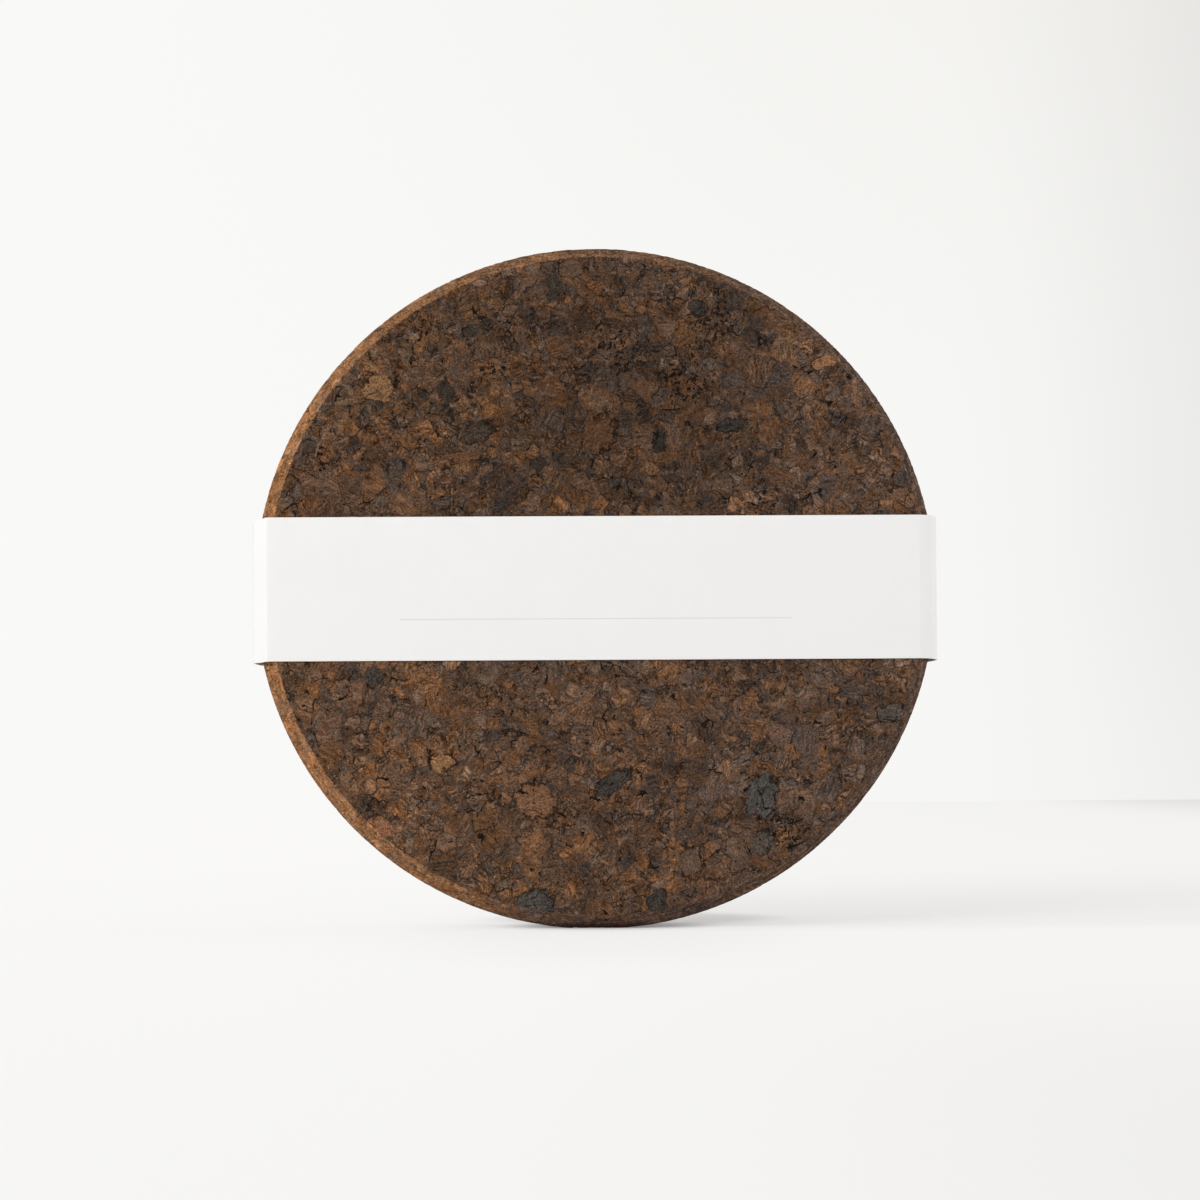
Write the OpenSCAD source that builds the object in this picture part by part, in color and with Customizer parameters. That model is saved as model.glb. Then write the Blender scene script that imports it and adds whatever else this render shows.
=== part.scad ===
// Round cork trivet that stands on its rim, with a paper band wrapped round its middle.
// The disc's axis runs along Y, its front face looks towards -Y and +Z is up.
// The origin is on the surface that it stands on, under the middle of the disc.

/* [Cork disc] */
// Diameter of the cork disc
disc_d = 150; // [110:1:220]
// Thickness of the cork disc
disc_t = 25; // [15:0.5:40]
// Width of the chamfer round each face, across and along the rim alike
rim_chamfer = 2.6; // [1:0.1:4]
// How far the rim has settled flat where the disc stands on it
foot_depth = 0.2; // [0.1:0.05:0.5]

/* [Paper band] */
// Height of the paper band
band_h = 31.6; // [15:0.1:60]
// How far the middle of the band sits above the middle of the disc
band_rise = -0.1; // [-20:0.1:20]
// Thickness of the paper
paper_t = 0.25; // [0.2:0.05:0.5]
// Gap between the band and the cork all round
band_gap = 0.15; // [0.1:0.05:0.4]
// Radius of the soft folds, at the middle of the paper
fold_r = 0.9; // [0.4:0.1:1.5]
// Length of the stretch where the band's ends overlap behind the disc
overlap_w = 24; // [10:1:60]
// Length of the step where the outer end climbs over the inner end
step_run = 1.6; // [1:0.1:4]
// Gap between the inner end's edge and the step
step_gap = 0.4; // [0.2:0.1:2]

/* [Adhesive strip] */
// Thickness of the adhesive between the band's ends
glue_t = 0.1; // [0.05:0.05:0.3]
// Margin of bare paper round the adhesive
glue_margin = 3; // [1:0.5:5]

/* [Hidden] */
cork_colour = "#6b4a33";
paper_colour = "#f0eeeb";
glue_colour = "#e6dcc0";
disc_facets = 180;
fold_steps = 6;
disc_r = disc_d / 2;
disc_mid_z = disc_r - foot_depth;
band_mid_z = disc_mid_z + band_rise;

// Where the middle of the paper runs round the disc's plan, which has a chamfer at each corner
paper_out = band_gap + paper_t / 2;
corner_shift = paper_out * tan(22.5);
panel_y = disc_t / 2 + paper_out;
panel_end_x = disc_r - rim_chamfer + corner_shift;
side_x = disc_r + paper_out;
side_end_y = disc_t / 2 - rim_chamfer + corner_shift;

// The ends lap over each other behind the disc, and the outer one steps up over the inner one
lap_rise = paper_t + glue_t;
lap_end_x = overlap_w / 2;
step_top_x = lap_end_x + step_gap;
step_foot_x = step_top_x + step_run;

band_route = [
    [lap_end_x, panel_y],
    [-panel_end_x, panel_y],
    [-side_x, side_end_y],
    [-side_x, -side_end_y],
    [-panel_end_x, -panel_y],
    [panel_end_x, -panel_y],
    [side_x, -side_end_y],
    [side_x, side_end_y],
    [panel_end_x, panel_y],
    [step_foot_x, panel_y],
    [step_top_x, panel_y + lap_rise],
    [-lap_end_x, panel_y + lap_rise]
];

function unit(v) = v / norm(v);
function left_of(v) = [-v[1], v[0]];

// Points of the arc of radius r that rounds the corner b between its neighbours a and c
function corner_arc(a, b, c, r) =
    let (
        come = unit(b - a),
        go = unit(c - b),
        turn = atan2(come[0] * go[1] - come[1] * go[0], come * go),
        side = sign(turn),
        start = b - come * r * tan(abs(turn) / 2),
        centre = start + left_of(come) * side * r,
        heading = atan2(come[1], come[0]) - side * 90
    )
    [for (i = [0 : fold_steps])
        centre + r * [cos(heading + turn * i / fold_steps), sin(heading + turn * i / fold_steps)]];

// The route with each of its inner corners rounded to radius r
function rounded(route, r) = [
    route[0],
    for (i = [1 : len(route) - 2])
        each corner_arc(route[i - 1], route[i], route[i + 1], r),
    route[len(route) - 1]
];

// The points of a route, moved sideways by d
function moved_aside(route, d) = [
    for (i = [0 : len(route) - 1])
        let (
            come = unit(route[max(i, 1)] - route[max(i, 1) - 1]),
            go = unit(route[min(i + 1, len(route) - 1)] - route[min(i, len(route) - 2)]),
            mitre = unit(come + go)
        )
        route[i] + left_of(mitre) * d / (mitre * come)
];

// A flat strip of thickness t that follows a route
module ribbon(route, t) {
    back_edge = moved_aside(route, -t / 2);
    polygon(concat(
        moved_aside(route, t / 2),
        [for (i = [len(route) - 1 : -1 : 0]) back_edge[i]]
    ));
}

// The whole round of cork, before it settles on its rim
module cork_round() {
    translate([0, 0, disc_mid_z])
        rotate([90, 0, 0])
            rotate_extrude($fn = disc_facets)
                polygon([
                    [0, -disc_t / 2],
                    [disc_r - rim_chamfer, -disc_t / 2],
                    [disc_r, -disc_t / 2 + rim_chamfer],
                    [disc_r, disc_t / 2 - rim_chamfer],
                    [disc_r - rim_chamfer, disc_t / 2],
                    [0, disc_t / 2]
                ]);
}

module cork_disc() {
    color(cork_colour)
        difference() {
            cork_round();
            translate([-disc_r, -disc_t, -disc_r])
                cube([disc_d, 2 * disc_t, disc_r]);
        }
}

module paper_band() {
    color(paper_colour)
        translate([0, 0, band_mid_z - band_h / 2])
            linear_extrude(height = band_h)
                ribbon(rounded(band_route, fold_r), paper_t);
}

module adhesive_strip() {
    glue_w = overlap_w - 2 * glue_margin;
    glue_h = band_h - 2 * glue_margin;
    color(glue_colour)
        translate([-glue_w / 2, panel_y + paper_t / 2, band_mid_z - glue_h / 2])
            cube([glue_w, glue_t, glue_h]);
}

cork_disc();
paper_band();
adhesive_strip();
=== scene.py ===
import math

import bmesh
import bpy
from mathutils import Euler, Matrix, Vector, noise


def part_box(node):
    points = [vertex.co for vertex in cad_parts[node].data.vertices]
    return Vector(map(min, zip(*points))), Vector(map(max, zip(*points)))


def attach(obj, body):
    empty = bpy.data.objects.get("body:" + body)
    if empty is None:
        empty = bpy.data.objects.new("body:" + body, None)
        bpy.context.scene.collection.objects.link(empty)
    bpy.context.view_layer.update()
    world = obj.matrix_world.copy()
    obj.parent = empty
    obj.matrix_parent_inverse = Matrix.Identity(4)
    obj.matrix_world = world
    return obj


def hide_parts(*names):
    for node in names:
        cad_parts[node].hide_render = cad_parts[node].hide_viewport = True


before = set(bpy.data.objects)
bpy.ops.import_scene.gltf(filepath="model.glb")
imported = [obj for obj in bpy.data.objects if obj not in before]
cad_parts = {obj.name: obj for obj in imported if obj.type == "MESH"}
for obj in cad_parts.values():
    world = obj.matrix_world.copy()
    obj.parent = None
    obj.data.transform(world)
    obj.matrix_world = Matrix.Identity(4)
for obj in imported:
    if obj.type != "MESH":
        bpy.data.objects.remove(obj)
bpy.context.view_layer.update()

MM = 0.001

# The cork disc, read from the frame. Its front face looks towards -Y.
disc_low, disc_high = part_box("cork_disc")
DISC_RADIUS = (disc_high.x - disc_low.x) / 2
DISC_HALF = (disc_high.y - disc_low.y) / 2
DISC_MIDDLE = Vector((0, 0, disc_high.z - DISC_RADIUS))
FLOOR_LEVEL = disc_low.z

# The hand-eased rim, whose chamfer is wider at the bottom left than at the top right
CHAMFER = 2.62 * MM
CHAMFER_DOWN = 0.50 * MM
CHAMFER_LEFT = 0.40 * MM
CHAMFER_LEAST = 1.8 * MM
CHAMFER_WANDER = 0.12 * MM

# The disc is spun this much too wide, and what the relief leaves of that is pressed back to the true radius
SPARE_WIDTH = 0.30 * MM
SPIN_STEPS = 180
CORK_VOXEL = 0.74 * MM
SAME_PLACE = 0.01 * MM

# The paper band
band_low, band_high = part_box("paper_band")
PAPER = 0.20 * MM
PANEL_GAP = 0.20 * MM
SIDE_GAP = 0.10 * MM
LEFT_FOLD = 2.86 * MM
RIGHT_FOLD = 1.75 * MM
RIGHT_CREASE = 71.3 * MM
RIGHT_LEAN = 0.16
FOLD_RADIUS = 1.0 * MM
FOLD_STEPS = 6
FOLD_SHARE = 0.45
CUT_EDGE = 0.05 * MM
OVERLAP = 24 * MM
GLUE = 0.1 * MM
GLUE_SHARE = 0.9
GLUE_SQUEEZE = 0.012
GLUE_COLUMNS = 24
GLUE_ROWS = 30
GLUE_WAVE = 2.5 * MM
STEP_RUN = 1.6 * MM
STEP_GAP = 0.4 * MM
BAND_COLUMN = 1.6 * MM
BAND_ROWS = 20
BAND_SAG = 0.03 * MM
BAND_DROP = 0.42 * MM
BAND_DROP_DEPTH = 1.8 * MM

# The thin printed rule on the band, from the disc's middle: right, up, length and thickness
RULE_RIGHT = 0.05 * MM
RULE_UP = -6.9 * MM
RULE_LENGTH = 86 * MM
RULE_WIDTH = 0.2 * MM

# Single granules that stand out on the front face, in millimetres from the disc's middle:
# right, up, half length, half width, turn in degrees and kind
CHIPS = [
    (3.3, -43.2, 4.7, 1.9, 35, "charcoal"),
    (36.2, -46.0, 4.6, 3.2, 78, "slate"),
    (-13.6, -69.3, 4.2, 3.1, 5, "slate"),
    (65.0, -28.0, 3.4, 2.2, 10, "dusk"),
    (13.1, -68.6, 2.4, 2.1, 30, "charcoal"),
    (36.2, -56.2, 3.0, 2.3, 40, "dusk"),
    (51.3, 49.8, 3.9, 1.6, 22, "amber"),
    (-46.9, -52.2, 3.4, 2.0, -20, "rust"),
    (68.3, 19.6, 3.2, 1.8, -30, "tan"),
    (-47.4, 44.1, 3.4, 3.1, 20, "straw"),
    (-13.6, -46.9, 4.4, 3.7, 0, "tan"),
    (-35.2, -34.6, 2.6, 1.5, 70, "bark"),
    (-34.1, -38.3, 3.1, 2.3, 0, "straw"),
    (30.2, 35.8, 3.5, 1.5, 10, "charcoal"),
    (22.5, 61.5, 2.0, 1.5, -60, "charcoal"),
    (-48.6, -19.3, 2.4, 2.0, 80, "charcoal"),
    (-5.2, 70.2, 2.9, 2.0, 0, "clay"),
    (-32.8, 43.2, 2.2, 1.7, -60, "umber"),
    (-23.9, 58.2, 1.6, 1.3, 60, "umber"),
    (-27.0, 56.5, 1.9, 1.4, 0, "umber"),
    (-12.3, 27.3, 2.1, 1.5, 0, "umber"),
    (-62.8, 31.2, 1.9, 1.3, -50, "cocoa"),
    (-28.8, 28.8, 3.8, 1.2, 5, "bark"),
    (-26.0, 34.4, 3.6, 2.4, 20, "cocoa"),
    (1.0, 33.6, 4.6, 3.2, 60, "bark"),
    (14.2, 32.6, 3.1, 1.4, 88, "umber"),
    (20.3, -60.2, 3.7, 2.6, 80, "clay"),
]
CHIP_COLOURS = {
    "umber": (0.0445, 0.0335, 0.0265),
    "charcoal": (0.046, 0.037, 0.031),
    "slate": (0.068, 0.059, 0.052),
    "cocoa": (0.062, 0.043, 0.032),
    "dusk": (0.079, 0.061, 0.048),
    "clay": (0.110, 0.067, 0.044),
    "bark": (0.122, 0.061, 0.033),
    "tan": (0.153, 0.078, 0.043),
    "straw": (0.200, 0.107, 0.054),
    "rust": (0.185, 0.088, 0.050),
    "amber": (0.250, 0.120, 0.058),
}

# Holes and cracks beside single granules: right, up, half length, half width and turn
PITS = [
    (4.2, -45.9, 4.0, 0.42, 33),
    (1.2, -41.8, 2.4, 0.22, 38),
    (56.7, 46.5, 0.9, 0.7, 20),
    (34.2, -42.0, 1.9, 0.35, 15),
    (35.0, -50.6, 1.3, 0.5, -40),
    (13.4, 33.8, 1.6, 0.5, 65),
]

# Places where the cork has crumbled, with more pits: right, up and radius
CRUMBLED = [
    (-37.5, 57.5, 5.5), (-22.0, 48.5, 4.0), (5.5, 52.0, 9.0),
    (26.5, 58.5, 7.0), (42.0, -54.0, 7.0), (20.5, 45.5, 9.0),
    (60.0, -14.0, 5.0), (-60.0, 28.0, 5.0), (37.0, 20.0, 6.0),
]

# Fine granules, and two coarser kinds of which only a share stands out: size in millimetres and share
FINE_GRANULE = 1.4
GRANULES = [(3.0, 0.72), (5.0, 0.36)]
SOFT_EDGE = 0.10

# Two soft shifts that bend the granules' outlines: size and reach in millimetres
SWIRL = (2.6, 2.0)
FINE_SWIRL = (0.7, 0.42)

# Pits and cracks: the size of the noise that they come from, and where in it they begin and are full.
# Crumbled places add to both.
CRUMBLE_SIZE = 7.0
CRUMBLE_SPREAD = (-0.6, 0.6)
CRUMBLE_CORE = 0.3
HOLE_SIZE = 0.9
HOLE_EDGE = (0.66, 0.70)
HOLES_IF_CRUMBLED = 0.11
CRACK_SIZE = 3.4
CRACK_WIDTH = (-0.98, 0.62)
CRACK_EDGE = (-0.03, 0.04)
CRACKS_IF_CRUMBLED = 0.04
PIT_EDGE = (1.15, 0.8)

# The relief of the cork, in millimetres
JOINT_REACH = 0.35
JOINT_DEPTH = 0.07
ROUGH_SIZE = 1.6
ROUGH_DEPTH = 0.10
PIT_DEPTH = 0.35
NICK_SIZE = 1.5
NICK_EDGE = (0.56, 0.72)
NICK_DEPTH = 0.30
NICK_START = DISC_RADIUS / MM - 4.0
NICK_FULL = DISC_RADIUS / MM - 1.0

# Smoked cork from charcoal through browns to tan
CORK_TONES = [
    (0.00, (0.036, 0.025, 0.019)),
    (0.16, (0.054, 0.035, 0.025)),
    (0.38, (0.082, 0.049, 0.032)),
    (0.60, (0.108, 0.061, 0.038)),
    (0.82, (0.138, 0.077, 0.045)),
    (1.00, (0.180, 0.100, 0.057)),
]
COOL_TINT = (0.85, 1.02, 1.26)
WARM_TINT = (1.17, 0.955, 0.70)

# What shifts a granule's tone, and what shifts its warmth: size in millimetres, and shift from low to high
TONE_OF_GRANULE = (0.24, 0.83)
PATCH_SIZE = 9.0
TONE_OF_PATCH = (-0.50, 0.50)
MOTTLE_SIZE = 1.4
TONE_OF_MOTTLE = (-0.56, 0.56)
WARMTH_OF_GRANULE = (-0.40, 0.40)
WARM_PATCH_SIZE = 3.2
WARMTH_OF_PATCH = (-0.9, 1.9)

# The single granules' ragged outlines: size, shift and where the outline and its gap begin and are full. The
# gap is a dark joint deepened with painted shade
CHIP_RAGGED_SIZE = 1.7
CHIP_RAGGED = (-0.6, 0.6)
CHIP_EDGE = (1.06, 0.90)
CHIP_GAP_MIDDLE = 1.02
CHIP_GAP = (0.14, 0.04)

# The layers of bark in each granule, which are fainter in the single ones, and the grit on top
LAYER_STRETCH = (2.4, 0.32, 0.32)
LAYER_STRENGTH = (2.5, 5.5)
LAYERS_IF_SINGLE = 0.5
LAYERS_LEAST = 0.25
GRIT_SIZE = 0.38
GRIT_SHADES = (-0.62, 2.62)
GRIT_LEAST = 0.15

# The dark seams between granules, which come and go, the gaps round single granules, dark joints deepened
# with painted shade, and the finest specks, dark and pale
SEAM_EDGE = (0.17, 0.04)
SEAM_PATCH_SIZE = 3.0
SEAM_PATCH = (0.42, 0.62)
GAP_PATCH = (0.34, 0.54)
SEAM_SHADE = 0.28
SPECK_SIZE = 0.45
SPECK_EDGE = (0.30, 0.25)
SPECK_SHADE = 0.25
FLECK_EDGE = (0.735, 0.775)
FLECK_COLOUR = (0.27, 0.165, 0.09)
# Pits and cracks are painted near black: painted shade inside them, deeper than the relief sinks them
PIT_PAINTED_SHADE = (0.009, 0.007, 0.006)

# The disc's tint as a whole, at its left and right ends
LEFT_TINT = (0.96, 1.0, 1.06)
RIGHT_TINT = (1.04, 1.0, 0.93)

# The sawn and sanded rim. It is paler than the face all round, much paler at the left with painted light from
# that side, and darker at the foot with painted contact shade
SAWN_COLOUR = (0.092, 0.055, 0.033)
SAWN_RIGHT = (1.12, 1.15, 1.32)
SAWN_LEFT_PAINTED_LIGHT = (2.90, 2.50, 2.00)
SAWN_FOOT_PAINTED_SHADE = (0.62, 0.68, 0.85)

# Where the rim counts as left, for its painted light, and as foot, for its painted shade, by how far a
# direction from the middle goes right or down
RIM_LEFT = (0.9, -1.0)
RIM_FOOT = (0.90, 0.985)
RIM_FOOT_LEAN = 0.06

# The rim's ragged inner edge, dust, scuffs and saw marks: size in millimetres, and shades from low to high
RIM_RAGGED_SIZE = 1.1
RIM_RAGGED = (-0.5, 0.5)
RIM_EDGE = (-0.10, 0.12)
DUST_STRETCH = (1.0, 0.5, 1.6)
DUST_SIZE = 0.55
DUST_SHADES = (-2.2, 4.2)
DUST_LEAST = 0.25
SCUFF_SIZE = 1.4
SCUFF_SHADES = (0.10, 1.90)
MARK_STRETCH = 7
MARK_SIZE = 0.6
MARK_SHADES = (-0.9, 2.9)
MARK_LEAST = 0.3
RIM_SHARE = (0.80, 0.45)

# Painted contact shade on the cork next to the floor, and the heights in millimetres where it begins and is
# full
FOOT_PAINTED_SHADE = 0.40
FOOT_SHADE_HEIGHT = (1.7, 0.3)

# Areas of the face that are darker or paler on the whole: middle, outer and inner radius in millimetres
DARK_AREA = ((2.0, 0.0, 40.0), 58.0, 8.0)
PALE_AREA = ((-45.0, 0.0, -38.0), 50.0, 5.0)
DARK_SHADES = (1.08, 0.74)
PALE_SHADES = (1.0, 1.10)

# The paper and the adhesive: colour, and the size in millimetres and shades of their faint patterns
PAPER_WHITE = (0.866, 0.861, 0.852)
FIBRE_SIZE = 0.5
FIBRE_SHADES = (0.97, 1.03)
CLOUD_SIZE = 14.0
CLOUD_SHADES = (0.985, 1.015)
RULE_GREY = (0.708, 0.704, 0.697)
ADHESIVE_COLOUR = (0.75, 0.66, 0.46)
STREAK_SIZE = 1.2
STREAK_SHADES = (0.85, 1.15)

# Depth of the bumps that are too fine for the mesh
FINE_BUMP = 0.05 * MM
CORK_BUMP = 0.10 * MM


class Graph:
    """Builds a node tree out of plain calls. An input is a number, a tuple or another node's output."""

    def __init__(self, tree):
        self.tree = tree

    def node(self, kind, inputs=None, **settings):
        node = self.tree.nodes.new(kind)
        for name, value in settings.items():
            setattr(node, name, value)
        for key, value in (inputs or {}).items():
            if isinstance(value, bpy.types.NodeSocket):
                self.tree.links.new(value, node.inputs[key])
            else:
                node.inputs[key].default_value = value
        return node

    def math(self, operation, a, b=0.0, clamp=False):
        return self.node("ShaderNodeMath", {0: a, 1: b}, operation=operation, use_clamp=clamp).outputs[0]

    def vector(self, operation, a, b=(0.0, 0.0, 0.0)):
        return self.node("ShaderNodeVectorMath", {0: a, 1: b}, operation=operation).outputs[0]

    def length(self, a):
        return self.node("ShaderNodeVectorMath", {0: a}, operation="LENGTH").outputs["Value"]

    def scaled(self, a, scale):
        return self.node("ShaderNodeVectorMath", {0: a, "Scale": scale}, operation="SCALE").outputs[0]

    def step(self, value, low, high):
        """0 where value is below low, 1 where it is above high, and smooth between them."""
        node = self.node("ShaderNodeMapRange", {"Value": value, "From Min": low, "From Max": high},
                         interpolation_type="SMOOTHSTEP")
        return node.outputs["Result"]

    def spread(self, value, low, high):
        """Maps 0 to 1 onto low to high."""
        node = self.node("ShaderNodeMapRange", {"Value": value, "To Min": low, "To Max": high}, clamp=False)
        return node.outputs["Result"]

    def blend(self, factor, a, b):
        return self.node("ShaderNodeMix", {0: factor, 2: a, 3: b}, data_type="FLOAT").outputs[0]

    def blend_vector(self, factor, a, b):
        return self.node("ShaderNodeMix", {0: factor, 4: a, 5: b}, data_type="VECTOR").outputs[1]

    def noise(self, place, size, detail=2.0, roughness=0.5, output=0):
        """Soft noise with features of about that size, in place's own unit. Output 1 holds three values."""
        return self.node("ShaderNodeTexNoise", {"Vector": place, "Scale": 1 / size, "Detail": detail,
                                                "Roughness": roughness}).outputs[output]

    def wobble(self, place, size, reach):
        """A soft shift in a random direction that changes over about that size."""
        return self.scaled(self.vector("SUBTRACT", self.noise(place, size, output=1), (0.5,) * 3), reach)

    def cells(self, place, size, feature):
        return self.node("ShaderNodeTexVoronoi", {"Vector": place, "Scale": 1 / size}, feature=feature)

    def product(self, *factors):
        result = factors[0]
        for factor in factors[1:]:
            result = self.math("MULTIPLY", result, factor)
        return result

    def parts(self, vector):
        return self.node("ShaderNodeSeparateXYZ", {0: vector}).outputs

    def turned(self, vector, degrees, centre):
        return self.node("ShaderNodeVectorRotate",
                         {"Vector": vector, "Center": centre, "Angle": math.radians(degrees)},
                         rotation_type="Y_AXIS").outputs[0]


def chip_reach(g, bent, right, up, half_length, half_width, degrees):
    """How far a place is from a chip's middle on the front face: 1 at the chip's edge."""
    centre = Vector((right, -DISC_HALF / MM, up + DISC_MIDDLE.z / MM))
    local = g.vector("SUBTRACT", g.turned(bent, degrees, centre), tuple(centre))
    return g.length(g.vector("MULTIPLY", local, (1 / half_length, 1 / half_width, 1 / half_width)))


def on_face(g, mm):
    """A place in millimetres from the disc's axis, with its depth left out."""
    return g.vector("MULTIPLY", g.vector("SUBTRACT", mm, tuple(DISC_MIDDLE / MM)), (1, 0, 1))


def cork_grain(g, place):
    """The granules of the cork at a place in metres, as the sockets that the relief and the colour share."""
    mm = g.scaled(place, 1 / MM)
    swirl = g.vector("ADD", mm, g.wobble(mm, *SWIRL))
    bent = g.vector("ADD", swirl, g.wobble(mm, *FINE_SWIRL))
    chance = g.cells(bent, FINE_GRANULE, "F1").outputs["Color"]
    edge = g.math("MULTIPLY", g.cells(bent, FINE_GRANULE, "DISTANCE_TO_EDGE").outputs[0], FINE_GRANULE)
    borders = []
    for size, share in GRANULES:
        cell = g.cells(bent, size, "F1").outputs["Color"]
        border = g.math("MULTIPLY", g.cells(bent, size, "DISTANCE_TO_EDGE").outputs[0], size)
        stands = g.math("LESS_THAN", g.parts(cell)[0], share)
        inside = g.math("MULTIPLY", stands, g.step(border, 0.0, SOFT_EDGE * size))
        chance = g.blend_vector(inside, chance, cell)
        edge = g.blend(stands, edge, border)
        borders.append(border)
    flat = on_face(g, mm)
    crumbled = g.spread(g.noise(mm, CRUMBLE_SIZE), *CRUMBLE_SPREAD)
    for right, up, radius in CRUMBLED:
        away = g.length(g.vector("SUBTRACT", flat, (right, 0.0, up)))
        crumbled = g.math("MAXIMUM", crumbled, g.step(away, radius, radius * CRUMBLE_CORE))
    holes = g.math("ADD", g.noise(bent, HOLE_SIZE, 2.0, 0.6), g.math("MULTIPLY", crumbled, HOLES_IF_CRUMBLED))
    pit = g.step(holes, *HOLE_EDGE)
    brittle = g.math("ADD", g.noise(mm, CRACK_SIZE), g.math("MULTIPLY", crumbled, CRACKS_IF_CRUMBLED))
    crack = g.math("SUBTRACT", g.spread(brittle, *CRACK_WIDTH), borders[0])
    pit = g.math("MAXIMUM", pit, g.step(crack, *CRACK_EDGE))
    for right, up, half_length, half_width, degrees in PITS:
        reach = chip_reach(g, bent, right, up, half_length, half_width, degrees)
        pit = g.math("MAXIMUM", pit, g.step(reach, *PIT_EDGE))
    return {"mm": mm, "swirl": swirl, "bent": bent, "chance": chance, "edge": edge, "pit": pit}


def cork_relief():
    """A node group that sinks the joints between the granules, the pits and the nicks of the rim."""
    tree = bpy.data.node_groups.new("cork_relief", "GeometryNodeTree")
    tree.interface.new_socket("Geometry", in_out="INPUT", socket_type="NodeSocketGeometry")
    tree.interface.new_socket("Geometry", in_out="OUTPUT", socket_type="NodeSocketGeometry")
    g = Graph(tree)
    start = g.node("NodeGroupInput")
    grain = cork_grain(g, g.node("GeometryNodeInputPosition").outputs[0])
    joint = g.math("MULTIPLY", g.step(grain["edge"], JOINT_REACH, 0.0), JOINT_DEPTH)
    rough = g.math("MULTIPLY", g.noise(grain["mm"], ROUGH_SIZE, 3.0, 0.6), ROUGH_DEPTH)
    pit = g.math("MULTIPLY", grain["pit"], PIT_DEPTH)
    near_rim = g.step(g.length(on_face(g, grain["mm"])), NICK_START, NICK_FULL)
    nick = g.math("MULTIPLY", g.step(g.noise(grain["bent"], NICK_SIZE), *NICK_EDGE), NICK_DEPTH)
    depth = g.math("ADD", g.math("ADD", joint, rough), g.math("ADD", pit, g.math("MULTIPLY", nick, near_rim)))
    inward = g.scaled(g.node("GeometryNodeInputNormal").outputs[0], g.math("MULTIPLY", depth, -MM))
    move = g.node("GeometryNodeSetPosition", {"Geometry": start.outputs[0], "Offset": inward})
    g.node("NodeGroupOutput", {0: move.outputs[0]})
    return tree


def bake_modifiers(piece):
    """Turns a piece's modifiers into its mesh."""
    shown = piece.evaluated_get(bpy.context.evaluated_depsgraph_get())
    final = bpy.data.meshes.new_from_object(shown)
    piece.modifiers.clear()
    old = piece.data
    piece.data = final
    bpy.data.meshes.remove(old)


def new_piece(name, shape):
    """A scene object from a bmesh, smooth shaded."""
    mesh = bpy.data.meshes.new(name)
    shape.to_mesh(mesh)
    shape.free()
    piece = bpy.data.objects.new(name, mesh)
    bpy.context.scene.collection.objects.link(piece)
    piece.data.shade_smooth()
    return piece


def chamfer_at(angle):
    """Width of the chamfer at an angle round the disc, counted from the right and upwards."""
    width = CHAMFER - CHAMFER_DOWN * math.sin(angle) - CHAMFER_LEFT * math.cos(angle)
    return width + CHAMFER_WANDER * noise.noise(Vector((2 * math.cos(angle), 2 * math.sin(angle), 0.3)))


def make_cork_disc():
    """The disc is spun from its half section, eased by hand, and then roughened like sawn cork."""
    shape = bmesh.new()
    outer = DISC_RADIUS + SPARE_WIDTH
    section = [
        (0, -1), (outer - CHAMFER, -1), (outer, -1 + CHAMFER / DISC_HALF),
        (outer, 1 - CHAMFER / DISC_HALF), (outer - CHAMFER, 1), (0, 1)
    ]
    points = [shape.verts.new((r, y * DISC_HALF, 0)) for r, y in section]
    lines = [shape.edges.new(pair) for pair in zip(points, points[1:])]
    bmesh.ops.spin(shape, geom=points + lines, cent=(0, 0, 0), axis=(0, 1, 0), steps=SPIN_STEPS,
                   angle=2 * math.pi, use_merge=True)
    bmesh.ops.remove_doubles(shape, verts=shape.verts, dist=SAME_PLACE)
    for point in shape.verts:
        away = math.hypot(point.co.x, point.co.z)
        if away < DISC_RADIUS / 2:
            continue
        side = math.copysign(1, point.co.y)
        width = max(CHAMFER_LEAST, chamfer_at(math.atan2(point.co.z, point.co.x)))
        if abs(abs(point.co.y) - DISC_HALF) < SAME_PLACE:
            point.co.x *= (outer - width) / away
            point.co.z *= (outer - width) / away
        else:
            point.co.y = side * (DISC_HALF - width)
    bmesh.ops.translate(shape, vec=DISC_MIDDLE, verts=shape.verts)
    for point in shape.verts:
        point.co.z = max(point.co.z, FLOOR_LEVEL)
    bmesh.ops.recalc_face_normals(shape, faces=shape.faces)
    disc = new_piece("cork_body", shape)
    remesh = disc.modifiers.new("even_mesh", "REMESH")
    remesh.mode = "VOXEL"
    remesh.voxel_size = CORK_VOXEL
    bake_modifiers(disc)
    disc.modifiers.new("relief", "NODES").node_group = cork_relief()
    bake_modifiers(disc)
    for point in disc.data.vertices:
        spoke = point.co - DISC_MIDDLE
        away = math.hypot(spoke.x, spoke.z)
        inward = min(1, DISC_RADIUS / max(away, MM))
        point.co.x = DISC_MIDDLE.x + spoke.x * inward
        point.co.z = max(FLOOR_LEVEL, DISC_MIDDLE.z + spoke.z * inward)
        point.co.y = max(-DISC_HALF, min(DISC_HALF, point.co.y))
    disc.data.shade_smooth()
    return disc


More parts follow.
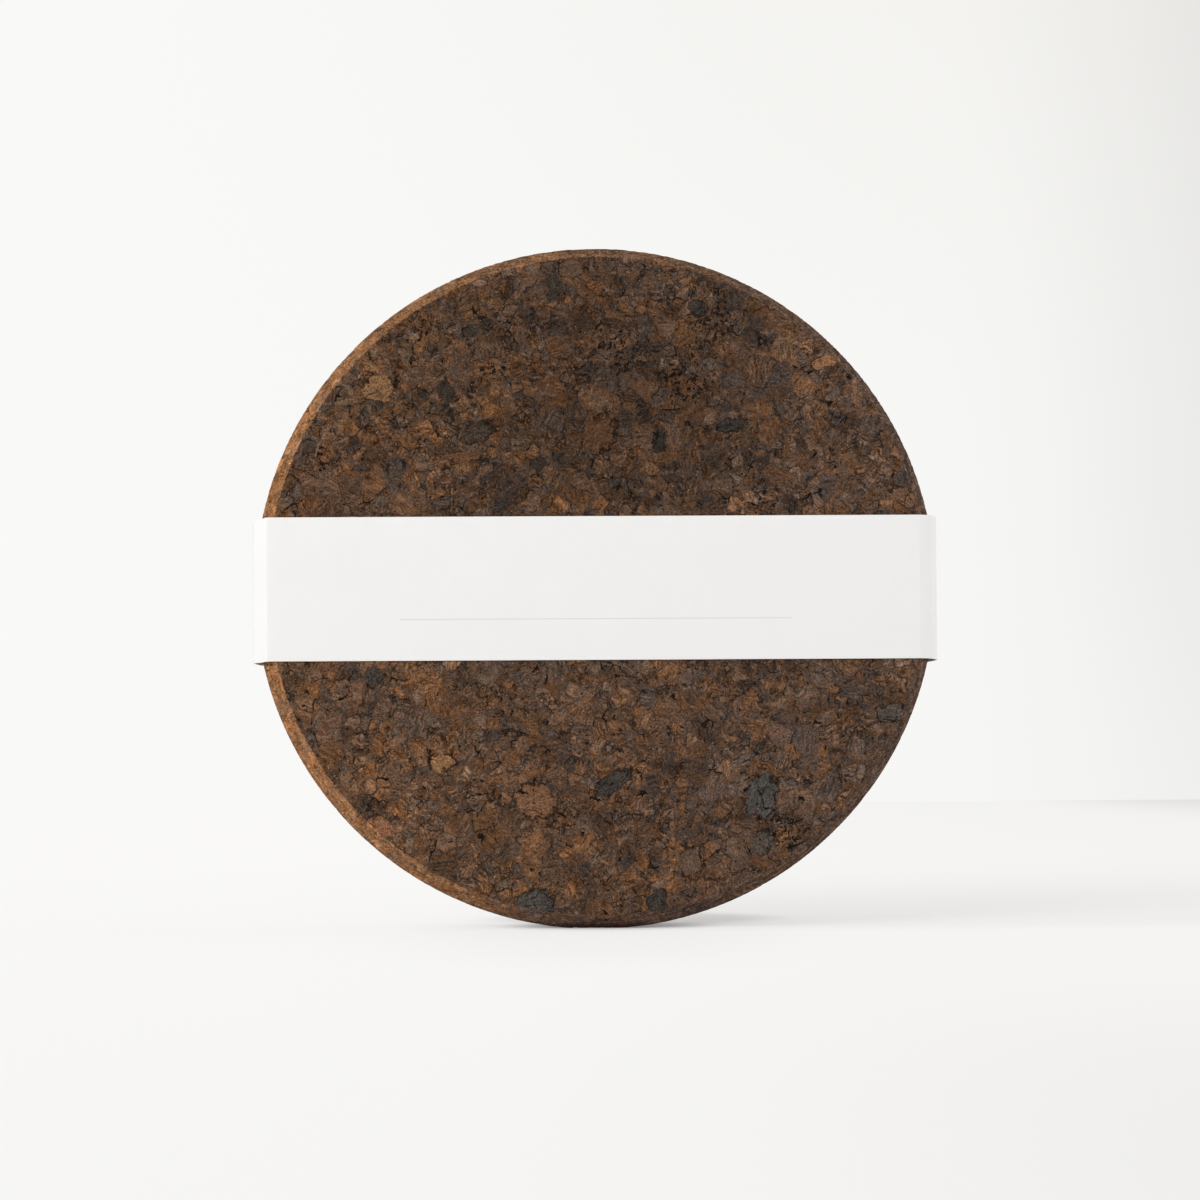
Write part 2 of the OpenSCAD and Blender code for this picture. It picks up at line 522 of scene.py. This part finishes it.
def band_route():
    """Where the middle of the paper runs, seen from above, from the inner end round to the outer end.

    The left folds follow the wide chamfer there. At the right the paper has a crease of its own, beyond which
    it leans in before it bends round the narrower chamfer."""
    panel_y = DISC_HALF + PANEL_GAP + PAPER / 2
    side_x = DISC_RADIUS + SIDE_GAP + PAPER / 2
    shift = (SIDE_GAP + PAPER / 2) * math.tan(math.radians(22.5))
    left_x = DISC_RADIUS - LEFT_FOLD + shift
    left_y = DISC_HALF - LEFT_FOLD + shift
    right_x = DISC_RADIUS - RIGHT_FOLD + shift
    right_y = DISC_HALF - RIGHT_FOLD + shift
    lean = (right_x - RIGHT_CREASE) * RIGHT_LEAN
    bend_x = right_x + lean
    bend_y = panel_y - lean
    lap = OVERLAP / 2
    rise = PAPER + GLUE
    return [
        Vector((lap, panel_y)),
        Vector((-left_x, panel_y)),
        Vector((-side_x, left_y)),
        Vector((-side_x, -left_y)),
        Vector((-left_x, -panel_y)),
        Vector((RIGHT_CREASE, -panel_y)),
        Vector((bend_x, -bend_y)),
        Vector((side_x, -right_y)),
        Vector((side_x, right_y)),
        Vector((bend_x, bend_y)),
        Vector((RIGHT_CREASE, panel_y)),
        Vector((lap + STEP_GAP + STEP_RUN, panel_y)),
        Vector((lap + STEP_GAP, panel_y + rise)),
        Vector((-lap, panel_y + rise)),
    ]


def rounded(route, radius, steps):
    """The route with an arc at each inner corner."""
    points = [route[0]]
    for before, corner, after in zip(route, route[1:], route[2:]):
        come = (corner - before).normalized()
        go = (after - corner).normalized()
        turn = math.atan2(come.x * go.y - come.y * go.x, come.dot(go))
        slope = math.tan(abs(turn) / 2)
        room = min((corner - before).length, (after - corner).length)
        reach = min(radius, FOLD_SHARE * room / slope)
        start = corner - come * reach * slope
        centre = start + Vector((-come.y, come.x)) * math.copysign(reach, turn)
        spoke = start - centre
        for i in range(steps + 1):
            points.append(centre + Matrix.Rotation(turn * i / steps, 2) @ spoke)
    return points + [route[-1]]


def evened(points, pitch):
    """The points with more put between those that lie further apart than pitch."""
    result = [points[0]]
    for a, b in zip(points, points[1:]):
        count = max(1, math.ceil((b - a).length / pitch))
        result += [a.lerp(b, i / count) for i in range(1, count + 1)]
    return result


def band_drop(y):
    """How far the paper runs below its front panel, which was folded a little askew."""
    return BAND_SAG + BAND_DROP * (1 - math.exp(-(y - band_low.y) / BAND_DROP_DEPTH))


def make_band():
    """The paper band is a strip bent along its route, given its thickness, and lowered behind its front."""
    shape = bmesh.new()
    route = evened(rounded(band_route(), FOLD_RADIUS, FOLD_STEPS), BAND_COLUMN)
    points = [shape.verts.new((p.x, p.y, band_low.z)) for p in route]
    lines = [shape.edges.new(pair) for pair in zip(points, points[1:])]
    height = band_high.z - band_low.z
    for _ in range(BAND_ROWS):
        grown = bmesh.ops.extrude_edge_only(shape, edges=lines)["geom"]
        moved = [part for part in grown if isinstance(part, bmesh.types.BMVert)]
        bmesh.ops.translate(shape, vec=(0, 0, height / BAND_ROWS), verts=moved)
        lines = [part for part in grown if isinstance(part, bmesh.types.BMEdge)
                 and part.verts[0] in moved and part.verts[1] in moved]
    bmesh.ops.recalc_face_normals(shape, faces=shape.faces)
    band = new_piece("paper_sleeve", shape)
    wall = band.modifiers.new("paper", "SOLIDIFY")
    wall.thickness = PAPER
    wall.offset = 0
    wall.use_even_offset = True
    edge = band.modifiers.new("cut_edge", "BEVEL")
    edge.width = CUT_EDGE
    edge.segments = 1
    edge.limit_method = "ANGLE"
    edge.angle_limit = math.radians(60)
    bake_modifiers(band)
    for point in band.data.vertices:
        point.co.z -= band_drop(point.co.y)
    band.data.shade_smooth()
    band.data.set_sharp_from_angle(angle=math.radians(30))
    return band


def make_glue():
    """The flat strip of adhesive between the band's two ends, with a slightly uneven edge."""
    low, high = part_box("adhesive_strip")
    middle = (low + high) / 2
    size = high - low
    shape = bmesh.new()
    bmesh.ops.create_grid(shape, x_segments=GLUE_COLUMNS, y_segments=GLUE_ROWS, size=0.5)
    bmesh.ops.scale(shape, vec=(size.x, size.z, 1), verts=shape.verts)
    for point in shape.verts:
        point.co *= 1 - GLUE_SQUEEZE * (1 + noise.noise(point.co / GLUE_WAVE))
    bmesh.ops.rotate(shape, cent=(0, 0, 0), matrix=Euler((math.pi / 2, 0, 0)).to_matrix(), verts=shape.verts)
    bmesh.ops.translate(shape, vec=middle - Vector((0, 0, band_drop(middle.y))), verts=shape.verts)
    strip = new_piece("sleeve_adhesive", shape)
    wall = strip.modifiers.new("thickness", "SOLIDIFY")
    wall.thickness = size.y * GLUE_SHARE
    wall.offset = 0
    bake_modifiers(strip)
    return strip


def new_material(name):
    material = bpy.data.materials.new(name)
    material.use_nodes = True
    material.node_tree.nodes.clear()
    return material, Graph(material.node_tree)


def finish_material(g, colour, bump, bump_distance, **constants):
    """Joins a colour and a height to the surface shader. Constants go on its own sockets."""
    bumped = g.node("ShaderNodeBump", {"Height": bump, "Distance": bump_distance, "Strength": 1.0})
    surface = g.node("ShaderNodeBsdfPrincipled", {"Base Color": colour, "Normal": bumped.outputs[0]})
    for name, value in constants.items():
        surface.inputs[name.replace("_", " ")].default_value = value
    g.node("ShaderNodeOutputMaterial", {"Surface": surface.outputs[0]})


def granule_colour(g, tone):
    """The colour of smoked cork, darkest at 0 and lightest at 1."""
    ramp = g.node("ShaderNodeValToRGB", {0: tone})
    band = ramp.color_ramp
    while len(band.elements) < len(CORK_TONES):
        band.elements.new(0.5)
    for element, (position, colour) in zip(band.elements, CORK_TONES):
        element.position = position
        element.color = (*colour, 1)
    return ramp.outputs[0]


def sawn_rim(g, mm):
    """Where the rim was sawn, and how far that spot lies to the left, where light is painted on, and near the
    foot, where shade is painted on, all from 0 to 1.
    """
    spoke = on_face(g, mm)
    away = g.length(spoke)
    heading = g.node("ShaderNodeVectorMath", {0: spoke}, operation="NORMALIZE").outputs[0]
    across, _, up = g.parts(heading)
    left = g.step(across, *RIM_LEFT)
    down = g.math("ADD", g.math("MULTIPLY", across, RIM_FOOT_LEAN), g.math("MULTIPLY", up, -1.0))
    low = g.step(down, *RIM_FOOT)
    width = g.math("ADD", g.math("MULTIPLY", across, -CHAMFER_LEFT / MM),
                   g.math("MULTIPLY", up, -CHAMFER_DOWN / MM))
    inner = g.math("SUBTRACT", (DISC_RADIUS - CHAMFER) / MM, width)
    ragged = g.spread(g.noise(mm, RIM_RAGGED_SIZE, 3.0, 0.6), *RIM_RAGGED)
    past = g.math("ADD", g.math("SUBTRACT", away, inner), ragged)
    return g.step(past, *RIM_EDGE), left, low


def rim_marks(g, mm):
    """Fine marks of the saw and the sandpaper, which run along the rim."""
    spoke = on_face(g, mm)
    heading = g.node("ShaderNodeVectorMath", {0: spoke}, operation="NORMALIZE").outputs[0]
    along = g.scaled(heading, DISC_RADIUS / MM / MARK_STRETCH)
    place = g.vector("ADD", along, g.vector("MULTIPLY", mm, (0, 1, 0)))
    inputs = {"Vector": place, "W": g.length(spoke), "Scale": 1 / MARK_SIZE, "Detail": 3.0, "Roughness": 0.7}
    return g.node("ShaderNodeTexNoise", inputs, noise_dimensions="4D").outputs[0]


def smoked_areas(g, mm):
    """How light the cork is on the whole: it is darker above the middle and paler at the lower left."""
    flat = on_face(g, mm)
    dark, pale = [g.step(g.length(g.vector("SUBTRACT", flat, middle)), outer, inner)
                  for middle, outer, inner in (DARK_AREA, PALE_AREA)]
    return g.math("MULTIPLY", g.spread(dark, *DARK_SHADES), g.spread(pale, *PALE_SHADES))


def cork_material():
    """Granules of many browns, each with its own grain, with dark joints and pits and a sawn rim. Pits, gaps
    round single granules and the foot carry painted shade, and the rim's left side painted light.
    """
    material, g = new_material("smoked_cork")
    place = g.node("ShaderNodeTexCoord").outputs["Object"]
    grain = cork_grain(g, place)
    mm, bent, chance = grain["mm"], grain["bent"], grain["chance"]
    patches = g.noise(mm, PATCH_SIZE)
    mottle = g.noise(grain["swirl"], MOTTLE_SIZE, 4.0, 0.75)
    tone = g.math("ADD", g.spread(g.parts(chance)[1], *TONE_OF_GRANULE), g.spread(patches, *TONE_OF_PATCH))
    tone = g.math("ADD", tone, g.spread(mottle, *TONE_OF_MOTTLE), clamp=True)
    colour = granule_colour(g, tone)
    warm_patches = g.noise(grain["swirl"], WARM_PATCH_SIZE, 4.0, 0.8)
    warmth = g.math("ADD", g.spread(g.parts(chance)[2], *WARMTH_OF_GRANULE),
                    g.spread(warm_patches, *WARMTH_OF_PATCH), clamp=True)
    colour = g.vector("MULTIPLY", colour, g.blend_vector(warmth, COOL_TINT, WARM_TINT))

    angles = g.scaled(chance, 2 * math.pi)
    ragged = g.spread(g.noise(mm, CHIP_RAGGED_SIZE, 3.0, 0.6), *CHIP_RAGGED)
    gap = 0.0
    calm = 0.0
    for right, up, half_length, half_width, degrees, kind in CHIPS:
        reach = g.math("ADD", chip_reach(g, bent, right, up, half_length, half_width, degrees), ragged)
        inside = g.step(reach, *CHIP_EDGE)
        colour = g.blend_vector(inside, colour, CHIP_COLOURS[kind])
        calm = g.math("MAXIMUM", calm, inside)
        angles = g.blend_vector(inside, angles, (0.0, math.radians(degrees + 90), 0.0))
        off_gap = g.math("ABSOLUTE", g.math("SUBTRACT", reach, CHIP_GAP_MIDDLE))
        gap = g.math("MAXIMUM", gap, g.step(off_gap, *CHIP_GAP))

    layered = g.node("ShaderNodeVectorRotate", {"Vector": grain["swirl"], "Rotation": angles},
                     rotation_type="EULER_XYZ").outputs[0]
    layers = g.noise(g.vector("MULTIPLY", layered, LAYER_STRETCH), 1.0, 2.0, 0.6)
    grit = g.noise(mm, GRIT_SIZE, 2.0, 0.8)
    ribbed = g.product(g.math("SUBTRACT", layers, 0.5), g.spread(g.parts(chance)[0], *LAYER_STRENGTH),
                       g.spread(calm, 1.0, LAYERS_IF_SINGLE))
    light = g.product(g.math("MAXIMUM", g.math("ADD", ribbed, 1.0), LAYERS_LEAST),
                      g.math("MAXIMUM", g.spread(grit, *GRIT_SHADES), GRIT_LEAST), smoked_areas(g, mm))

    patchy = g.noise(mm, SEAM_PATCH_SIZE)
    seam = g.math("MULTIPLY", g.step(grain["edge"], *SEAM_EDGE), g.step(patchy, *SEAM_PATCH))
    # The gaps round single granules join the seams: dark joints deepened with painted shade
    seam = g.math("MAXIMUM", seam, g.math("MULTIPLY", gap, g.step(patchy, *GAP_PATCH)))
    colour = g.scaled(colour, g.math("MULTIPLY", light, g.spread(seam, 1.0, SEAM_SHADE)))
    # Painted shade: pits and cracks are painted near black
    colour = g.blend_vector(grain["pit"], colour, PIT_PAINTED_SHADE)
    specks = g.noise(mm, SPECK_SIZE, 1.0)
    colour = g.scaled(colour, g.spread(g.step(specks, *SPECK_EDGE), 1.0, SPECK_SHADE))
    colour = g.blend_vector(g.step(specks, *FLECK_EDGE), colour, FLECK_COLOUR)

    sawn, left, low = sawn_rim(g, mm)
    dust = g.noise(g.vector("MULTIPLY", mm, DUST_STRETCH), DUST_SIZE, 3.0, 0.8)
    scuffs = g.noise(mm, SCUFF_SIZE)
    even = g.scaled(SAWN_COLOUR, g.math("MAXIMUM", g.spread(dust, *DUST_SHADES), DUST_LEAST))
    even = g.scaled(even, g.spread(scuffs, *SCUFF_SHADES))
    even = g.scaled(even, g.math("MAXIMUM", g.spread(rim_marks(g, mm), *MARK_SHADES), MARK_LEAST))
    # Painted light: the rim is much paler at the left, the side the light falls on
    paler = g.blend_vector(left, SAWN_RIGHT, SAWN_LEFT_PAINTED_LIGHT)
    rim = g.vector("MULTIPLY", g.blend_vector(g.spread(left, *RIM_SHARE), colour, even), paler)
    # Painted contact shade darkens the rim at the foot
    rim = g.vector("MULTIPLY", rim, g.blend_vector(low, (1.0, 1.0, 1.0), SAWN_FOOT_PAINTED_SHADE))
    colour = g.blend_vector(sawn, colour, rim)
    # Painted contact shade darkens the lowest millimetres of the disc, next to the floor
    foot_shaded = g.step(g.parts(mm)[2], *FOOT_SHADE_HEIGHT)
    colour = g.scaled(colour, g.spread(foot_shaded, 1.0, FOOT_PAINTED_SHADE))
    side = g.spread(g.parts(mm)[0], 0.5, 0.5 - MM / DISC_RADIUS / 2)
    colour = g.vector("MULTIPLY", colour, g.blend_vector(side, LEFT_TINT, RIGHT_TINT))

    height = g.math("ADD", g.math("MULTIPLY", layers, 0.5), g.math("MULTIPLY", grit, 0.5))
    height = g.math("SUBTRACT", height, g.math("MULTIPLY", seam, 0.5))
    height = g.math("SUBTRACT", height, grain["pit"])
    finish_material(g, colour, height, CORK_BUMP, Roughness=1.0, Specular_IOR_Level=0.08)
    return material


def paper_material():
    """Uncoated white paper with faint fibres and clouds, and the thin rule on its front."""
    material, g = new_material("white_paper")
    place = g.node("ShaderNodeTexCoord").outputs["Object"]
    mm = g.scaled(place, 1 / MM)
    fibres = g.noise(g.vector("MULTIPLY", mm, (1.0, 1.0, 2.2)), FIBRE_SIZE, 3.0, 0.6)
    clouds = g.noise(mm, CLOUD_SIZE)
    white = g.scaled(PAPER_WHITE, g.spread(clouds, *CLOUD_SHADES))
    white = g.scaled(white, g.spread(fibres, *FIBRE_SHADES))
    across, depth, up = g.parts(g.vector("SUBTRACT", mm, tuple(DISC_MIDDLE / MM)))
    over = g.math("ABSOLUTE", g.math("SUBTRACT", up, RULE_UP / MM))
    aside = g.math("ABSOLUTE", g.math("SUBTRACT", across, RULE_RIGHT / MM))
    line = g.math("MULTIPLY", g.step(over, RULE_WIDTH / MM * 0.6, RULE_WIDTH / MM * 0.4),
                  g.math("LESS_THAN", aside, RULE_LENGTH / MM / 2))
    line = g.math("MULTIPLY", line, g.math("LESS_THAN", depth, 0.0))
    colour = g.blend_vector(line, white, RULE_GREY)
    height = g.math("ADD", g.math("MULTIPLY", clouds, 1.5), g.math("MULTIPLY", fibres, 0.25))
    finish_material(g, colour, height, FINE_BUMP, Roughness=0.8, Specular_IOR_Level=0.3)
    return material


def glue_material():
    """Dried adhesive, a little streaky and glossier than the paper."""
    material, g = new_material("dried_adhesive")
    place = g.node("ShaderNodeTexCoord").outputs["Object"]
    mm = g.scaled(place, 1 / MM)
    streaks = g.noise(g.vector("MULTIPLY", mm, (1.0, 1.0, 0.3)), STREAK_SIZE, 3.0)
    colour = g.scaled(ADHESIVE_COLOUR, g.spread(streaks, *STREAK_SHADES))
    finish_material(g, colour, streaks, FINE_BUMP, Roughness=0.45, Specular_IOR_Level=0.4)
    return material


# Table top and wall, in metres from the point under the disc
TABLE_BACK = 1.40
TABLE_HALF_WIDTH = 3.0
TABLE_FRONT = 2.0
WALL_BACK = 2.2
WALL_HEIGHT = 3.0
WALL_FOOT = -1.0
TABLE_GREY = (0.93, 0.922, 0.906)
WALL_GREY = (0.92, 0.92, 0.915)

# Their tones as the camera sees them, from left to right, and the painted shade that darkens them towards the
# right, the top, far back, in the back right corner and near the disc
TABLE_TONES = ((0.975, 0.969, 0.956), (0.934, 0.926, 0.909))
WALL_TONES = ((0.950, 0.950, 0.935), (0.890, 0.882, 0.861))
TABLE_CORNER_PAINTED_SHADE = 0.86
WALL_EDGE_PAINTED_SHADE = 0.845
TABLE_FAR_PAINTED_SHADE = 0.985
NEAR_PAINTED_SHADES = (0.028, 0.092)
WALL_TOP_SHADES = (0.46, 1.12)
WALL_FOOT_SHADES = (0.6, 1.0)

# Where those tones change, in metres to the right, back or up: the place where it begins and where it ends
TABLE_RIGHT = (-0.15, 0.28)
TABLE_FAR = (-0.15, 0.45)
CORNER_RIGHT = (0.27, 0.40)
CORNER_BACK = (0.60, 1.45)
NEAR_RIGHT = (-0.03, 0.075)
NEAR_FRONT = (-0.05, -0.50)
BEHIND_RIGHT = (-0.05, 0.05)
BEHIND_BACK = (-0.03, 0.005)
WALL_RIGHT = (-0.60, 0.65)
WALL_TOP = (0.25, 0.85)
EDGE_RIGHT = (0.33, 0.74)
EDGE_UP = (-0.05, 0.25)

# How much of that tone is mixed in, in front of the disc, behind it and far away
TABLE_GLOW = (0.85, 0.60)
TABLE_FAR_GLOW = 0.97

# Round the foot the lamps' own shade shows: middle, one over the reach each way, and the share of tone left
FOOT_MIDDLE = (0.003, 0.0, 0.0)
FOOT_FALLOFF = (1 / 0.028, 1 / 0.024, 0.0)
FOOT_SHARE = 0.1
CORE_MIDDLE = (0.010, 0.030, 0.0)
CORE_FALLOFF = (1 / 0.040, 1 / 0.034, 0.0)
CORE_SHARE = 0.30
FRONT_MIDDLE = (0.0, -0.05, 0.0)
FRONT_FALLOFF = (1 / 0.045, 1 / 0.090, 0.0)
FRONT_SHARE = 0.82

# Camera: distance in metres, angles and roll in degrees, lens in millimetres, and its aim on the front face
CAMERA_DISTANCE = 0.75
CAMERA_AZIMUTH = -1.0
CAMERA_ELEVATION = -2.5
CAMERA_ROLL = 0.32
CAMERA_LENS = 102.45
AIM_RIGHT = 0.91 * MM
AIM_DOWN = 2.8 * MM

# Lamps: name, place and size in metres, and watts
LAMPS = [
    ("window", (-1.13, -1.43, 0.88), (1.1, 1.1), 24.1),
    ("reflector", (1.80, 0.36, 0.30), (0.8, 0.6), 17),
]
ROOM_LIGHT = 0.452
ROOM_SEEN = 0.93
ROOM_COLOUR = (1.0, 0.998, 0.99, 1)


def seen_directly(g, surface, pale, share):
    """Mixes a pale tone into what the camera sees of a surface. The light that it sends on is unchanged."""
    camera = g.node("ShaderNodeLightPath").outputs["Is Camera Ray"]
    glow = g.node("ShaderNodeEmission", {"Color": pale})
    seen = g.math("MULTIPLY", camera, share)
    mixed = g.node("ShaderNodeMixShader", {0: seen, 1: surface, 2: glow.outputs[0]})
    g.node("ShaderNodeOutputMaterial", {"Surface": mixed.outputs[0]})


def off_spot(g, place, middle, falloff):
    """How far a place is from a spot on the table: 1 at the spot's edge."""
    return g.length(g.vector("MULTIPLY", g.vector("SUBTRACT", place, middle), falloff))


def table_material():
    """A plain pale table top on which the disc keeps its own shadow. What the camera sees of it is paler at
    the left, with painted shade towards the right, far back, in the back right corner and in front of the
    disc.
    """
    material, g = new_material("table_top")
    place = g.node("ShaderNodeTexCoord").outputs["Object"]
    across, back, _ = g.parts(place)
    grey = g.scaled(TABLE_GREY, g.spread(g.noise(place, 0.4, 2.0), 0.99, 1.01))
    surface = g.node("ShaderNodeBsdfDiffuse", {"Color": grey})
    right = g.step(across, *TABLE_RIGHT)
    far = g.step(back, *TABLE_FAR)
    corner = g.math("MULTIPLY", g.step(back, *CORNER_BACK), g.step(across, *CORNER_RIGHT))
    # Painted shade: the table darkens towards the right, far back and in the back right corner
    pale = g.blend_vector(right, *TABLE_TONES)
    pale = g.scaled(pale, g.product(g.spread(far, 1.0, TABLE_FAR_PAINTED_SHADE),
                                    g.spread(g.math("MULTIPLY", far, right), 1.0, TABLE_FAR_PAINTED_SHADE),
                                    g.spread(corner, 1.0, TABLE_CORNER_PAINTED_SHADE)))
    # Painted shade on the table in front of the disc, growing towards the right
    near_painted_shade = g.spread(g.step(across, *NEAR_RIGHT), *NEAR_PAINTED_SHADES)
    near = g.math("MULTIPLY", g.step(back, *NEAR_FRONT), near_painted_shade)
    pale = g.scaled(pale, g.math("SUBTRACT", 1.0, near))
    behind = g.math("MULTIPLY", g.step(across, *BEHIND_RIGHT), g.step(back, *BEHIND_BACK))
    foot = g.step(off_spot(g, place, FOOT_MIDDLE, FOOT_FALLOFF), 1.0, 0.3)
    core = g.step(off_spot(g, place, CORE_MIDDLE, CORE_FALLOFF), 1.0, 0.5)
    front = g.step(off_spot(g, place, FRONT_MIDDLE, FRONT_FALLOFF), 1.3, 0.3)
    near_share = g.product(g.blend(behind, *TABLE_GLOW), g.spread(foot, 1.0, FOOT_SHARE),
                           g.spread(core, 1.0, CORE_SHARE), g.spread(front, 1.0, FRONT_SHARE))
    seen_directly(g, surface.outputs[0], pale, g.blend(far, near_share, TABLE_FAR_GLOW))
    return material


def wall_material():
    """A plain pale wall far behind the disc, with painted shade that makes it greyer towards the right and
    the top.
    """
    material, g = new_material("back_wall")
    place = g.node("ShaderNodeTexCoord").outputs["Object"]
    across, _, up = g.parts(place)
    grey = g.scaled(WALL_GREY, g.spread(g.noise(place, 0.4, 2.0), 0.99, 1.01))
    surface = g.node("ShaderNodeBsdfDiffuse", {"Color": grey})
    # Painted shade: the wall greys towards the right and the top
    top_shade = g.spread(g.step(up, *WALL_TOP), *WALL_TOP_SHADES)
    shade = g.math("MULTIPLY", g.step(across, *WALL_RIGHT), top_shade)
    pale = g.blend_vector(shade, *WALL_TONES)
    # Painted shade along the right part of the wall, weaker near its foot
    edge_shade = g.spread(g.step(up, *EDGE_UP), *WALL_FOOT_SHADES)
    edge = g.math("MULTIPLY", g.step(across, *EDGE_RIGHT), edge_shade)
    pale = g.scaled(pale, g.spread(edge, 1.0, WALL_EDGE_PAINTED_SHADE))
    seen_directly(g, surface.outputs[0], pale, 1.0)
    return material


def stage_plane(name, corners, material):
    shape = bmesh.new()
    shape.faces.new([shape.verts.new(corner) for corner in corners])
    plane = new_piece(name, shape)
    plane.data.materials.append(material)


def make_stage():
    left, right = -TABLE_HALF_WIDTH, TABLE_HALF_WIDTH
    stage_plane("table", [(left, -TABLE_FRONT, 0), (right, -TABLE_FRONT, 0),
                          (right, TABLE_BACK, 0), (left, TABLE_BACK, 0)], table_material())
    stage_plane("wall", [(left, WALL_BACK, WALL_FOOT), (right, WALL_BACK, WALL_FOOT),
                         (right, WALL_BACK, WALL_HEIGHT), (left, WALL_BACK, WALL_HEIGHT)], wall_material())


def make_lamp(name, place, size, power):
    """A rectangular lamp that faces the middle of the disc."""
    light = bpy.data.lights.new(name, "AREA")
    light.shape = "RECTANGLE"
    light.size, light.size_y = size
    light.energy = power
    lamp = bpy.data.objects.new(name, light)
    lamp.location = place
    lamp.rotation_euler = (DISC_MIDDLE - Vector(place)).to_track_quat("-Z", "Y").to_euler()
    bpy.context.scene.collection.objects.link(lamp)


def make_world():
    """Soft light from all round. The camera sees it as a pale backdrop."""
    world = bpy.data.worlds.new("room")
    bpy.context.scene.world = world
    world.use_nodes = True
    world.node_tree.nodes.clear()
    g = Graph(world.node_tree)
    camera = g.node("ShaderNodeLightPath").outputs["Is Camera Ray"]
    level = g.blend(camera, ROOM_LIGHT, ROOM_SEEN)
    sky = g.node("ShaderNodeBackground", {"Color": ROOM_COLOUR, "Strength": level})
    g.node("ShaderNodeOutputWorld", {"Surface": sky.outputs[0]})


def make_light():
    make_world()
    for lamp in LAMPS:
        make_lamp(*lamp)


def make_camera():
    front = DISC_MIDDLE - Vector((0, DISC_HALF, 0))
    turn, lift = math.radians(CAMERA_AZIMUTH), math.radians(CAMERA_ELEVATION)
    away = Vector((math.cos(lift) * math.sin(turn), -math.cos(lift) * math.cos(turn), math.sin(lift)))
    data = bpy.data.cameras.new("camera")
    data.lens = CAMERA_LENS
    camera = bpy.data.objects.new("camera", data)
    camera.location = front + away * CAMERA_DISTANCE
    aim = front + Vector((AIM_RIGHT, 0, -AIM_DOWN))
    look = (aim - camera.location).to_track_quat("-Z", "Y").to_matrix()
    camera.rotation_euler = (look @ Matrix.Rotation(math.radians(-CAMERA_ROLL), 3, "Z")).to_euler()
    bpy.context.scene.collection.objects.link(camera)
    bpy.context.scene.camera = camera


make_camera()
make_light()
make_stage()
bpy.context.scene.view_settings.view_transform = "Standard"

cork = make_cork_disc()
cork.data.materials.append(cork_material())
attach(cork, "disc")
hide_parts("cork_disc")

sleeve = make_band()
sleeve.data.materials.append(paper_material())
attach(sleeve, "band")
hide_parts("paper_band")

adhesive = make_glue()
adhesive.data.materials.append(glue_material())
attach(adhesive, "band")
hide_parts("adhesive_strip")
